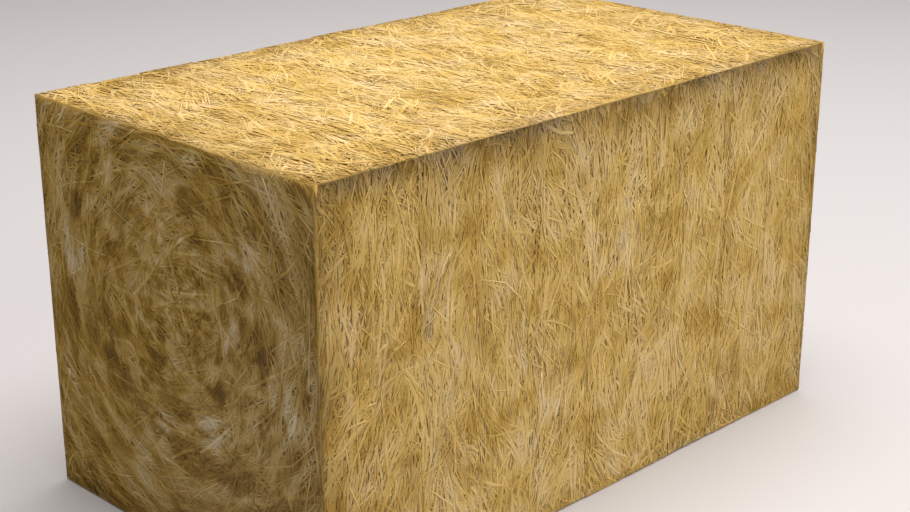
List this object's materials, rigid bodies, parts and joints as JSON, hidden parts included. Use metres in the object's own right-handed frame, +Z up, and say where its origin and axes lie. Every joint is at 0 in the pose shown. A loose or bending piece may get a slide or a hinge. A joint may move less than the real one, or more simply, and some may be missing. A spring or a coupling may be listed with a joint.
{
  "type": "square hay bale",
  "caption": "Square-section hay bale of pressed flakes standing face to face along its length, with stalks lying across its long faces and swept round on its ends.",
  "frame": {"origin": "on the ground under the middle of the bale", "axes": "+X along the bale's length, +Y across it, +Z up; the weathered end of the picture is at -X and its long side at -Y"},
  "size_m": [0.8128, 0.4636, 0.4604],
  "materials": {
    "hay": "dry golden hay stalks, matt with a slight gloss on the stems",
    "end_hay": "weathered brown hay stalks with some grey, matt"
  },
  "bodies": {
    "root": {"flake_01": "end_hay", "flake_02": "hay", "flake_03": "hay", "flake_04": "hay", "flake_05": "hay", "flake_06": "hay", "flake_07": "hay", "flake_08": "hay", "flake_09": "hay", "flake_10": "end_hay"}
  },
  "joints": []
}
